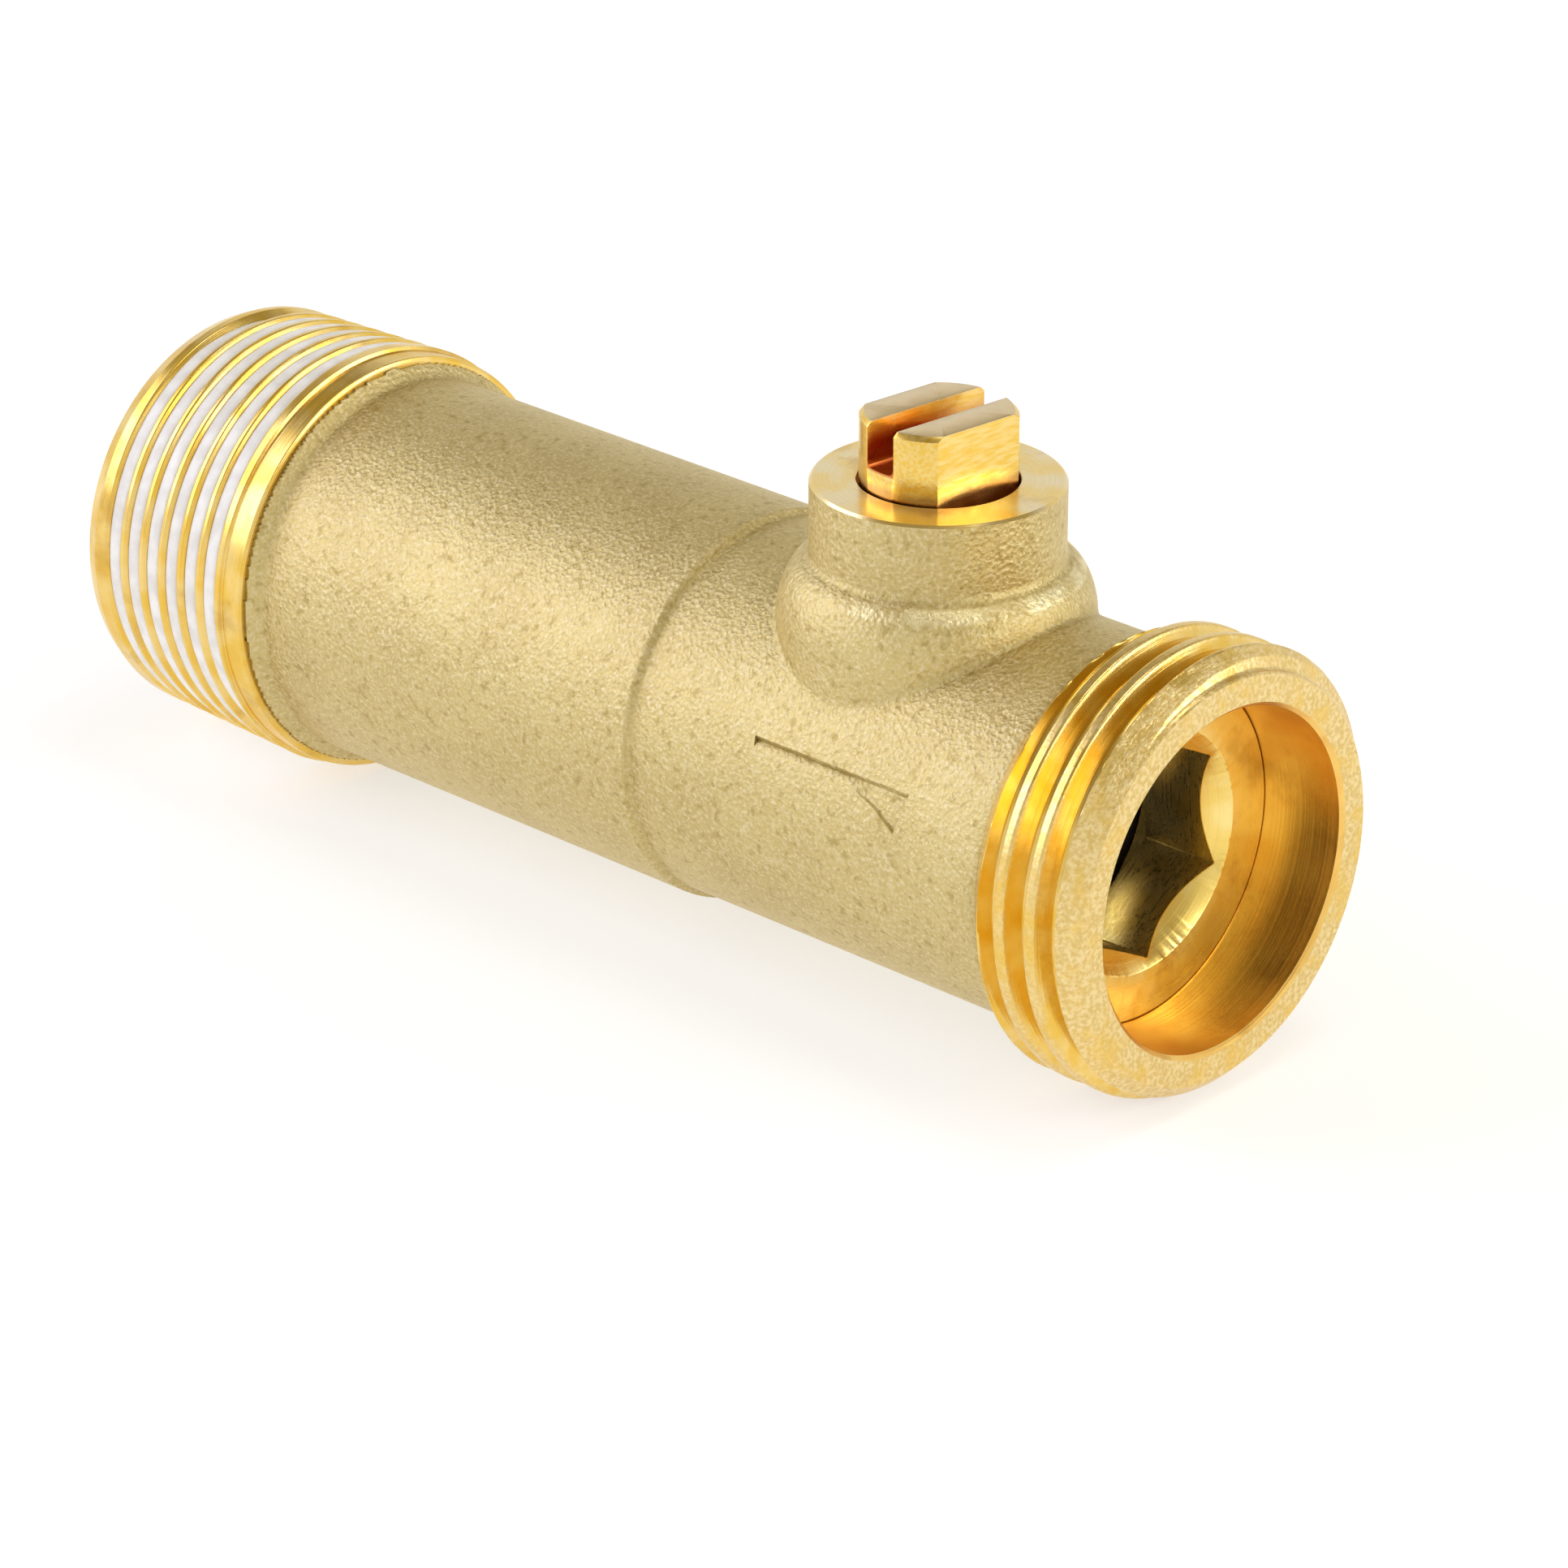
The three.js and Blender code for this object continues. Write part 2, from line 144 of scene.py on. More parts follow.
# ---- stem ----
STEM_R = 4.56
STEM_FLATS = 6.75
STEM_TOP_CHAMFER = 0.28
HEAD_TURN = math.radians(-6)  # the slot and flats are cut this far off the tang
STEM_FLATS_BOTTOM_Z = BOSS_TOP_Z - 1.0
SLOT_WIDTH = 2.2
SLOT_FLOOR_Z = BOSS_TOP_Z + 1.5
SLOT_ROUND = 0.4
FLANGE_R = 6.2
FLANGE_HEIGHT = 1.4
TANG_REACH = 4.2
TANG_HALF = 1.7
GROOVES_Z = (12.2, 15.0)  # undersides of the O-ring grooves
GROOVE_R = 3.5
GROOVE_WIDTH = 1.8
CORD_R = 0.62  # section of an O-ring
CORD_MIDDLE_R = 4.16
WASHER_BORE_R = 5.2
WASHER_R = 6.2

# ---- ball, seats and retainer ----
BALL_R = (BALL_HIGH.x - BALL_LOW.x) / 2
BALL_BORE_R = 5.0
BALL_SLOT_HALF = 2.0
BALL_SLOT_FLOOR_Z = 6.0
SEAT_FACE_R = BALL_R + 0.35
SEAT_BORE_R = 5.2
SEAT_LIP_R = 6.45
SEAT_INNER_R = 6.95
SEAT_R = 9.2
SEAT_START = 6.5  # from the stem axis
SEAT_END = 9.1
SOCKET_FLATS = 12.1  # across the retainer's hexagon
SOCKET_TURN = 35  # degrees
LEAD_IN_R = 7.37
RELIEF_R = 7.3

# ---- flow arrow sunk in the side of the neck ----
ARROW_START_X = 56.1
ARROW_TIP_X = 67.8
ARROW_LINE = 0.5
ARROW_HEAD = 4.2
ARROW_MIDDLE_DROP = 1.0
ARROW_DROP = 2.0
ARROW_DEPTH = 0.22
ARROW_STEP = 0.16  # sharp step round the half arrowhead
ARROW_ANGLE = math.radians(20)  # above the horizontal plane through the pipe axis

# ---- meshes ----


def make_object(name, points, faces, material):
    """A mesh object from points in millimetres, its doubled points welded and its faces turned outwards."""
    mesh = bpy.data.meshes.new(name)
    mesh.from_pydata((np.asarray(points) * MM).tolist(), [], faces)
    bm = bmesh.new()
    bm.from_mesh(mesh)
    bmesh.ops.remove_doubles(bm, verts=bm.verts, dist=0.0005 * MM)
    bmesh.ops.recalc_face_normals(bm, faces=bm.faces)
    bm.to_mesh(mesh)
    bm.free()
    mesh.materials.append(material)
    made = bpy.data.objects.new(name, mesh)
    bpy.context.scene.collection.objects.link(made)
    return made


def grid_faces(rows, columns, close_rows=False, close_columns=False):
    """Quads of a grid of points kept row by row."""
    faces = []
    for i in range(rows if close_rows else rows - 1):
        for j in range(columns if close_columns else columns - 1):
            below, right = (i + 1) % rows, (j + 1) % columns
            faces.append(
                (i * columns + j, i * columns + right, below * columns + right, below * columns + j)
            )
    return faces


def rounded(outline, radius, steps=4):
    """An open outline with its inner corners rounded by short arcs, as far as the sides allow."""
    points = [Vector(p) for p in outline]
    result = [points[0]]
    for before, corner, after in zip(points, points[1:], points[2:]):
        to_before, to_after = before - corner, after - corner
        reach = min(radius, 0.45 * to_before.length, 0.45 * to_after.length)
        start = corner + to_before.normalized() * reach
        end = corner + to_after.normalized() * reach
        for i in range(steps + 1):
            t = i / steps
            result.append(start * (1 - t) ** 2 + corner * 2 * t * (1 - t) + end * t**2)
    result.append(points[-1])
    return [tuple(p) for p in result]


def turned(name, outline, material, axis="X", sides=160):
    """A solid turned from an outline of (place along the axis, radius) points."""
    outline = np.array(outline)
    angles = np.linspace(0, TURN, sides, endpoint=False)
    along = np.repeat(outline[:, :1], sides, axis=1)
    across = outline[:, 1:] * np.cos(angles)
    up = outline[:, 1:] * np.sin(angles)
    if axis == "X":
        points = np.stack([along, across, up], axis=-1)
    else:
        points = np.stack([across + STEM_X, up, along], axis=-1)
    faces = grid_faces(len(outline), sides, close_columns=True)
    return make_object(name, points.reshape(-1, 3), faces, material)


def prism(name, outline, low, high, material, axis="X"):
    """A straight bar along an axis, from a closed outline across it."""
    count = len(outline)
    points = []
    for place in (low, high):
        for u, v in outline:
            points.append({"X": (place, u, v), "Y": (u, place, v), "Z": (u, v, place)}[axis])
    faces = [(i, (i + 1) % count, count + (i + 1) % count, count + i) for i in range(count)]
    faces.append(tuple(range(count)))
    faces.append(tuple(range(count, 2 * count)))
    return make_object(name, points, faces, material)


def combine(target, tool, operation):
    """Joins or cuts target with tool, keeping each one's materials on its own faces."""
    modifier = target.modifiers.new("combine", "BOOLEAN")
    modifier.solver = "MANIFOLD"
    modifier.operation = operation
    modifier.material_mode = "TRANSFER"
    modifier.object = tool
    apply_modifiers(target)
    bpy.data.objects.remove(tool)


def apply_modifiers(target):
    depsgraph = bpy.context.evaluated_depsgraph_get()
    result = bpy.data.meshes.new_from_object(target.evaluated_get(depsgraph))
    target.modifiers.clear()
    target.data = result


def shade(target, angle=35):
    """Smooth faces, with sharp edges where two faces meet at more than the angle in degrees."""
    target.data.shade_smooth()
    target.data.set_sharp_from_angle(angle=math.radians(angle))


def soften(target, width, segments=2, angle=35):
    """Small rounds along the sharp edges."""
    modifier = target.modifiers.new("soften", "BEVEL")
    modifier.width = width * MM
    modifier.segments = segments
    modifier.limit_method = "ANGLE"
    modifier.angle_limit = math.radians(angle)
    modifier.harden_normals = False
    apply_modifiers(target)


# ---- materials ----


class Nodes:
    """Short ways to add the nodes of one material."""

    def __init__(self, name):
        self.material = bpy.data.materials.new(name)
        self.material.use_nodes = True
        self.tree = self.material.node_tree
        self.shader = self.tree.nodes["Principled BSDF"]
        self.place = self.add("ShaderNodeTexCoord").outputs["Object"]

    def add(self, kind, **settings):
        node = self.tree.nodes.new(kind)
        for key, value in settings.items():
            setattr(node, key, value)
        return node

    def link(self, source, target):
        if isinstance(source, (int, float, tuple)):
            target.default_value = source
        else:
            self.tree.links.new(source, target)

    def math(self, operation, *values, clamp=False):
        node = self.add("ShaderNodeMath", operation=operation, use_clamp=clamp)
        for value, socket in zip(values, node.inputs):
            self.link(value, socket)
        return node.outputs[0]

    def ramp(self, value, low, high, out_low=0.0, out_high=1.0):
        """The value's range from low to high, spread over out_low to out_high with soft ends."""
        node = self.add("ShaderNodeMapRange", interpolation_type="SMOOTHSTEP")
        for socket, given in zip(node.inputs, (value, low, high, out_low, out_high)):
            self.link(given, socket)
        return node.outputs[0]

    def noise(self, size, detail=2.0, roughness=0.5, at=None):
        """Noise from 0 to 1 whose blotches are about size millimetres."""
        node = self.add("ShaderNodeTexNoise")
        self.link(at or self.place, node.inputs["Vector"])
        node.inputs["Scale"].default_value = 1 / (size * MM)
        node.inputs["Detail"].default_value = detail
        node.inputs["Roughness"].default_value = roughness
        return node.outputs["Fac"]

    def cells(self, size, at=None):
        """Distance to the nearest of scattered points about size millimetres apart, from 0 to about 1."""
        node = self.add("ShaderNodeTexVoronoi")
        self.link(at or self.place, node.inputs["Vector"])
        node.inputs["Scale"].default_value = 1 / (size * MM)
        return node.outputs["Distance"]

    def mix(self, share, first, second):
        node = self.add("ShaderNodeMix", data_type="RGBA")
        self.link(share, node.inputs["Factor"])
        self.link(first, node.inputs["A"])
        self.link(second, node.inputs["B"])
        return node.outputs["Result"]

    def corners(self, reach, deep, open_sky):
        """Share of painted shade in inside corners: 1 where less than deep of the sky is open, looking no
        further than reach millimetres, and 0 where more than open_sky is."""
        node = self.add("ShaderNodeAmbientOcclusion", samples=6)
        node.inputs["Distance"].default_value = reach * MM
        return self.ramp(node.outputs["AO"], deep, open_sky, 1.0, 0.0)

    def axes(self):
        node = self.add("ShaderNodeSeparateXYZ")
        self.link(self.place, node.inputs[0])
        return node.outputs

    def radius(self, axis="X"):
        """Distance in metres from the pipe axis, or from the stem axis for Z."""
        x, y, z = self.axes()
        if axis == "Z":
            across, up = self.math("SUBTRACT", x, STEM_X * MM), y
        else:
            across, up = y, z
        squares = self.math("ADD", self.math("MULTIPLY", across, across), self.math("MULTIPLY", up, up))
        return self.math("SQRT", squares)

    def shoulder_rub_and_highlight(self):
        """Share of the rub marks that handling leaves round the top of the boss's shoulder, on its outlet
        side: real wear made smoother, with a painted highlight in its pale colour.
        """
        x, _, z = self.axes()
        from_stem = self.radius("Z")
        band = self.math(
            "MULTIPLY",
            self.ramp(from_stem, (BOSS_R + 0.35) * MM, (BOSS_R + 0.6) * MM),
            self.ramp(z, (BOSS_NECK_Z - 1.15) * MM, (BOSS_NECK_Z - 0.85) * MM),
        )
        patchy = self.ramp(self.noise(1.6, detail=3.0), 0.35, 0.6)
        # only on the outlet side, where the painted highlight falls
        lit_outlet_side = self.ramp(x, STEM_X * MM, (STEM_X + 3) * MM)
        return self.math("MULTIPLY", self.math("MULTIPLY", band, patchy), lit_outlet_side)

    def turning_lines(self, size, axis="X"):
        """Fine rings left by a lathe tool, about size millimetres apart."""
        node = self.add("ShaderNodeCombineXYZ")
        x, _, z = self.axes()
        self.link(x if axis == "X" else z, node.inputs["X"])
        self.link(self.radius(axis), node.inputs["Y"])
        return self.noise(size, detail=3.0, at=node.outputs[0])

    def bump(self, height, depth, strength=1.0, under=None):
        """Bump of the height 0 to 1, depth millimetres deep, over an earlier bump."""
        node = self.add("ShaderNodeBump")
        node.inputs["Strength"].default_value = strength
        node.inputs["Distance"].default_value = depth * MM
        self.link(height, node.inputs["Height"])
        if under is not None:
            self.link(under, node.inputs["Normal"])
        return node.outputs[0]

    def finish(self, colour, roughness, normal=None, metallic=1.0, **sockets):
        self.link(colour, self.shader.inputs["Base Color"])
        self.link(roughness, self.shader.inputs["Roughness"])
        self.link(metallic, self.shader.inputs["Metallic"])
        if normal is not None:
            self.link(normal, self.shader.inputs["Normal"])
        for name, value in sockets.items():
            self.link(value, self.shader.inputs[name.replace("_", " ")])
        return self.material


def colour(red, green, blue):
    return (red, green, blue, 1.0)


GOLD = colour(0.82, 0.53, 0.09)
GOLD_PALE = colour(0.86, 0.63, 0.22)
# bore brass: the brass's colour made paler and more orange as a painted reflection of light bouncing round
# the bore
BORE_BOUNCE_ORANGE = colour(0.91, 0.55, 0.14)
BORE_BOUNCE_PALE = colour(0.95, 0.63, 0.18)
# retainer brass brightened beyond the body's brass: painted light on its face inside the outlet
RETAINER_LIT_GOLD = colour(0.90, 0.65, 0.17)
RETAINER_LIT_PALE = colour(0.95, 0.75, 0.28)
FACED_PALE = colour(0.84, 0.70, 0.42)
STAIN = colour(0.50, 0.26, 0.05)
FORGED = colour(0.58, 0.45, 0.185)
FORGED_PALE = colour(0.63, 0.50, 0.21)
FORGED_SPECK = colour(0.75, 0.64, 0.37)
FORGED_STAIN = colour(0.49, 0.37, 0.14)
# painted shade for the forging's inside corners, creases and the arrow's walls
FORGED_CORNER_SHADE = colour(0.36, 0.27, 0.085)
# pale rubbed brass: a painted highlight on the worn shoulder
RUBBED_HIGHLIGHT = colour(0.86, 0.74, 0.42)
SANDY = colour(0.70, 0.50, 0.17)
SANDY_PALE = colour(0.86, 0.68, 0.34)
# painted shade for the hose thread's groove edges and corners
HOSE_CORNER_SHADE = colour(0.45, 0.25, 0.03)
STEM_TOP = colour(0.72, 0.56, 0.32)
# painted shade inside the stem's slot
SLOT_PAINTED_SHADE = colour(0.55, 0.17, 0.045)
# painted shade at the stem's foot, just above the boss
STEM_FOOT_SHADE = colour(0.50, 0.30, 0.10)


def blasted_brass():
    """Forged brass after shot blasting: dull, grainy and unevenly tinted."""
    n = Nodes("blasted_brass")
    grain = n.noise(0.24, detail=4.0, roughness=0.65)
    pits = n.cells(0.3)
    tint = n.noise(6.0, detail=2.0)
    speck = n.noise(0.55, detail=2.0)
    body = n.mix(n.ramp(tint, 0.35, 0.65), FORGED, FORGED_PALE)
    speckled = n.mix(n.ramp(grain, 0.42, 0.7), body, FORGED_SPECK)
    stained = n.mix(n.ramp(speck, 0.54, 0.74), speckled, FORGED_STAIN)
    # painted shade: darker olive wherever an inside corner sees little sky
    corner_shaded = n.mix(n.corners(1.0, 0.6, 0.96), stained, FORGED_CORNER_SHADE)
    # painted highlight on the outlet side of the shoulder, over real rub wear
    rub_and_highlight = n.shoulder_rub_and_highlight()
    # worn here carries the painted shoulder highlight and the painted corner shade
    worn = n.mix(rub_and_highlight, corner_shaded, RUBBED_HIGHLIGHT)
    normal = n.bump(pits, 0.07, 0.7, under=n.bump(grain, 0.1, 0.8))
    rough = n.math("SUBTRACT", n.ramp(grain, 0.3, 0.7, 0.40, 0.52), n.math("MULTIPLY", rub_and_highlight, 0.2))
    return n.finish(worn, rough, normal)


def turned_brass(name, first, second, roughness, line_size, line_depth, axis="X"):
    """Bright brass with the rings of a lathe tool and a few brown stains."""
    n = Nodes(name)
    lines = n.turning_lines(line_size, axis)
    tint = n.noise(2.5, detail=3.0)
    tone = n.mix(n.ramp(tint, 0.35, 0.65), first, second)
    stains = n.ramp(n.noise(3.5, detail=4.0, roughness=0.6), 0.52, 0.7, 0.0, 0.4)
    tone = n.mix(stains, tone, STAIN)
    normal = n.bump(lines, line_depth, 0.6)
    return n.finish(tone, n.ramp(lines, 0.3, 0.7, roughness, roughness + 0.1), normal)



def hose_brass():
    """Turned brass whose crests, front chamfer and face have worn pale and sandy."""
    n = Nodes("hose_brass")
    x, _, _ = n.axes()
    lines = n.turning_lines(0.14)
    grain = n.noise(0.28, detail=3.0, roughness=0.6)
    tint = n.noise(1.8, detail=3.0)
    bright = n.mix(n.ramp(tint, 0.35, 0.65), GOLD, GOLD_PALE)
    sandy = n.mix(n.ramp(grain, 0.36, 0.66), SANDY, SANDY_PALE)
    crest = n.ramp(n.radius(), (HOSE_CREST_R - 0.4) * MM, (HOSE_CREST_R - 0.1) * MM)
    front = n.ramp(x, (LENGTH - HOSE_CHAMFER - 0.25) * MM, (LENGTH - HOSE_CHAMFER + 0.05) * MM)
    exposed = n.math("MAXIMUM", n.math("MULTIPLY", crest, 0.6), front)
    worn = n.math("MULTIPLY", exposed, n.ramp(tint, 0.3, 0.55, 0.4, 1.0))
    # painted shade in the grooves' inside corners
    corner_shaded = n.mix(n.corners(0.8, 0.2, 0.75), n.mix(worn, bright, sandy), HOSE_CORNER_SHADE)
    normal = n.bump(n.math("MULTIPLY", grain, worn), 0.05, 0.7, under=n.bump(lines, 0.015, 0.6))
    return n.finish(corner_shaded, n.math("ADD", 0.2, n.math("MULTIPLY", worn, 0.18)), normal)


BLASTED = blasted_brass()
HOSE = hose_brass()
TURNED = turned_brass("turned_brass", GOLD, GOLD_PALE, 0.2, 0.12, 0.015)
FACED = turned_brass("faced_brass", GOLD_PALE, FACED_PALE, 0.16, 0.1, 0.006, axis="Z")
RETAINER = turned_brass("retainer_brass", RETAINER_LIT_GOLD, RETAINER_LIT_PALE, 0.25, 0.16, 0.008)
# the bore's tones carry painted bounce light
BORED = turned_brass("bored_brass", BORE_BOUNCE_ORANGE, BORE_BOUNCE_PALE, 0.28, 0.14, 0.02)


def sealant_material():
    """Thin dried sealing compound: milky, slightly glossy, with fine drag marks along the groove."""
    n = Nodes("sealant")
    drag = n.turning_lines(0.16)
    cloud = n.noise(1.4, detail=3.0)
    tone = n.mix(n.ramp(cloud, 0.3, 0.7), colour(0.72, 0.69, 0.64), colour(0.86, 0.84, 0.81))
    normal = n.bump(drag, 0.03, 0.5, under=n.bump(cloud, 0.05, 0.4))
    return n.finish(tone, 0.38, normal, metallic=0.0)


def plain_material(name, tone, deep_tone, roughness, metallic, grain_size, grain_depth):
    n = Nodes(name)
    grain = n.noise(grain_size, detail=3.0)
    mixed = n.mix(n.ramp(grain, 0.3, 0.7), deep_tone, tone)
    normal = n.bump(grain, grain_depth, 0.5)
    return n.finish(mixed, n.ramp(grain, 0.3, 0.7, roughness, roughness + 0.08), normal, metallic=metallic)


# ---- valve body ----


def round_union(a, b, radius):
    """Union of two distance fields with a circular fillet between them."""
    near = np.hypot(np.maximum(radius - a, 0), np.maximum(radius - b, 0))
    return np.maximum(radius, np.minimum(a, b)) - near


def smoothstep(value, low, high):
    t = np.clip((value - low) / (high - low), 0, 1)
    return t * t * (3 - 2 * t)


def forged_radius(x):
    """Radius of the forged pipe's skin, without the boss."""
    step = smoothstep(x, BARREL_STEP_X - BARREL_STEP_HALF, BARREL_STEP_X + BARREL_STEP_HALF)
    shoulder = 1 - smoothstep(x, COLLAR_END_X - 0.3, COLLAR_FOOT_X)
    return BARREL_R + (SHOULDER_R - BARREL_R) * shoulder - (BARREL_R - NECK_R) * step


def forging_distance(x, y, z):
    """Rough distance from the forging's skin, negative inside."""
    pipe = np.hypot(y, z) - forged_radius(x)
    from_stem = np.hypot(x - STEM_X, y)
    out = np.maximum(from_stem - BOSS_SHOULDER_R, 0) / BOSS_SHOULDER_WIDTH
    up = np.maximum(z - BOSS_SHOULDER_Z, 0) / BOSS_SHOULDER_HEIGHT
    foot = (np.hypot(out, up) - 1) * BOSS_SHOULDER_WIDTH
    column = np.maximum(from_stem - BOSS_R, z - BOSS_TOP_Z - 1)
    boss = np.maximum(round_union(foot, column, BOSS_NECK_FILLET), -z)
    return round_union(pipe, boss, BOSS_FOOT_FILLET)


def implicit_surface(distance, low, high, step):
    """Points and quads of a distance field's zero surface, with the points moved right onto it."""
    counts = [int(round((b - a) / step)) + 1 for a, b in zip(low, high)]
    x, y, z = (a + step * np.arange(n) for a, n in zip(low, counts))
    field = distance(x[:, None, None], y[None, :, None], z[None, None, :]).astype(np.float32)
    volume = openvdb.FloatGrid(step * 3)
    volume.copyFromArray(field, tolerance=0)
    points, quads = volume.convertToQuads()
    points = np.array(points, float) * step + np.array(low)
    small = step / 20
    for _ in range(3):
        here = distance(*points.T)
        slope = np.stack(
            [(distance(*(points + offset).T) - here) / small for offset in np.eye(3) * small], axis=1
        )
        points -= slope * (here / np.maximum((slope**2).sum(axis=1), 0.1))[:, None]
    return points, quads


def forging():
    """The forged middle of the body, reaching a little way inside both turned ends."""
    start, end = COLLAR_END_X + 0.02, HOSE_RAMP_X + 0.6

    def closed(x, y, z):
        return np.maximum(forging_distance(x, y, z), np.maximum(start - x, x - end))

    reach = SHOULDER_R + 3 * SKIN_STEP
    low = (start - 3 * SKIN_STEP, -reach, -reach)
    high = (end + 3 * SKIN_STEP, reach, BOSS_TOP_Z + 1 + 3 * SKIN_STEP)
    points, quads = implicit_surface(closed, low, high, SKIN_STEP)
    points[:, 0] = np.clip(points[:, 0], start, end)
    return make_object("valve_body_skin", points, quads.tolist(), BLASTED)


def inlet_crest(x):
    return INLET_CREST_R + INLET_TAPER * x


def inlet_blank(x):
    """Radius of the inlet end before its thread is cut."""
    chamfered = INLET_FACE_R + (inlet_crest(INLET_CHAMFER) - INLET_FACE_R) * x / INLET_CHAMFER
    return np.minimum(chamfered, inlet_crest(x))


def hose_blank(x):
    """Radius of the hose end before its thread is cut."""
    ramp = NECK_R + (x - HOSE_RAMP_X)
    chamfer = HOSE_CREST_R - HOSE_CHAMFER + (LENGTH - x)
    return np.minimum(np.minimum(ramp, chamfer), HOSE_CREST_R)


def groove_section(top, root, depth, crest_round, root_round, pitch):
    """One pitch of a thread as (place from the groove's centre, depth below the crest) points."""
    half = [
        (0, depth),
        (root / 2, depth),
        (top / 2, 0),
        (pitch / 2, 0),
    ]
    mirrored = [(-x, d) for x, d in reversed(half[1:])] + half[1:]
    rows = [mirrored[0]]
    for i in range(1, len(mirrored) - 1):
        radius = root_round if mirrored[i][1] > 0 else crest_round
        rows.extend(rounded(mirrored[i - 1 : i + 2], radius, steps=5)[1:-1])
    rows.append(mirrored[-1])
    return refined(rows, 0.12)


def refined(outline, longest):
    """An outline with points added so that no stretch is longer than the given length."""
    result = [outline[0]]
    for a, b in zip(outline, outline[1:]):
        pieces = max(1, math.ceil(math.dist(a, b) / longest))
        for i in range(1, pieces + 1):
            t = i / pieces
            result.append((a[0] + (b[0] - a[0]) * t, a[1] + (b[1] - a[1]) * t))
    return result


def threaded_end(name, section, pitch, start_x, span, turns, fade, blank, cap, material):
    """A solid end of the body. Its rows follow the thread's helix between the ends of span, which is the
    threaded length; cap closes it with (x, radius) points before and after."""
    first_turn, last_turn = turns
    angle = np.linspace(0, TURN, SIDES + 1)
    rows = []
    for x, radius in cap[0]:
        rows.append((np.full_like(angle, x), np.full_like(angle, radius)))
    first_row = math.floor((span[0] - start_x) / pitch) - 2
    last_row = math.ceil((span[1] - start_x) / pitch) + 1
    for k in range(first_row, last_row + 1):
        for offset, depth in section[:-1]:
            turn = k + angle / TURN
            helix_x = start_x + pitch * turn + offset
            x = np.clip(helix_x, *span)
            strength = smoothstep(turn, first_turn, first_turn + fade)
            strength = strength * (1 - smoothstep(turn, last_turn - fade, last_turn))
            crest = blank["crest"](x)
            rows.append((x, np.minimum(blank["radius"](x), crest - depth * strength)))
    for x, radius in cap[1]:
        rows.append((np.full_like(angle, x), np.full_like(angle, radius)))
    x = np.array([row[0] for row in rows])
    radius = np.array([row[1] for row in rows])
    points = np.stack([x, radius * np.cos(angle), radius * np.sin(angle)], axis=-1).reshape(-1, 3)
    return make_object(name, points, grid_faces(len(rows), SIDES + 1), material)


def inlet_end():
    section = groove_section(
        top=1.5, root=0.14, depth=THREAD_DEPTH, crest_round=0.08, root_round=0.05, pitch=INLET_PITCH
    )
    band = rounded(
        [
            (COLLAR_START_X, inlet_crest(COLLAR_START_X)),
            (COLLAR_START_X + 0.08, COLLAR_R),
            (COLLAR_END_X, COLLAR_R),
            (COLLAR_END_X + 0.1, COLLAR_R - 0.25),
            (COLLAR_END_X + 0.1, 0),
        ],
        0.06,
        steps=3,
    )
    return threaded_end(
        "inlet_end",
        section,
        pitch=INLET_PITCH,
        start_x=0.0,
        span=(0.0, COLLAR_START_X),
        turns=(1.1, 6.8),
        fade=0.35,
        blank={"crest": inlet_crest, "radius": inlet_blank},
        cap=([(0, 0), (0, INLET_FACE_R - 0.05)], band[1:]),
        material=TURNED,
    )


def hose_end():
    section = groove_section(
        top=1.6, root=0.5, depth=THREAD_DEPTH, crest_round=0.22, root_round=0.22, pitch=HOSE_PITCH
    )
    foot_x = HOSE_RAMP_X - 0.5
    return threaded_end(
        "hose_end",
        section,
        pitch=HOSE_PITCH,
        start_x=HOSE_START_X,
        span=(foot_x, LENGTH),
        turns=(0.05, 5.0),
        fade=0.3,
        blank={"crest": lambda x: np.full_like(x, HOSE_CREST_R), "radius": hose_blank},
        cap=([(foot_x, 0)], [(LENGTH, 0)]),
        material=HOSE,
    )


def waterway():
    over = 1.0
    edge = 0.25
    chamber_start, chamber_end = STEM_X - CHAMBER_HALF, STEM_X + CHAMBER_HALF
    outline = [
        (-over, 0),
        (-over, INLET_BORE_R + over + edge),
        (edge, INLET_BORE_R),
        (INLET_BORE_END_X, INLET_BORE_R),
        (INLET_BORE_END_X + DRILL_POINT, PORT_R),
        (chamber_start, PORT_R),
        (chamber_start, CHAMBER_R),
        (chamber_end, CHAMBER_R),
        (chamber_end, OUTLET_BORE_R),
        (LENGTH - edge, OUTLET_BORE_R),
        (LENGTH + over, OUTLET_BORE_R + over + edge),
        (LENGTH + over, 0),
    ]
    return turned("waterway", outline, BORED, sides=240)


def stem_passage():
    outline = [
        (0, 0),
        (0, FLANGE_POCKET_R),
        (FLANGE_POCKET_TOP_Z, FLANGE_POCKET_R),
        (FLANGE_POCKET_TOP_Z, STEM_BORE_R),
        (BOSS_TOP_Z - 0.05, STEM_BORE_R),
        (BOSS_TOP_Z + 1, STEM_BORE_R + 1.05),
        (BOSS_TOP_Z + 2, STEM_BORE_R + 1.05),
        (BOSS_TOP_Z + 2, 0),
    ]
    return turned("stem_passage", outline, BORED, axis="Z")


def boss_facing():
    """What the facing cut takes off the boss: everything above its top, and a small chamfer on the rim."""
    outline = [
        (BOSS_TOP_Z, 0),
        (BOSS_TOP_Z, BOSS_R - BOSS_EDGE),
        (BOSS_TOP_Z - BOSS_EDGE, BOSS_R),
        (BOSS_TOP_Z - BOSS_EDGE - 0.5, BOSS_R + 0.5),
        (BOSS_TOP_Z - BOSS_EDGE - 0.5, BOSS_R + 1),
        (BOSS_TOP_Z + 3, BOSS_R + 1),
        (BOSS_TOP_Z + 3, 0),
    ]
    return turned("boss_facing", outline, FACED, axis="Z")


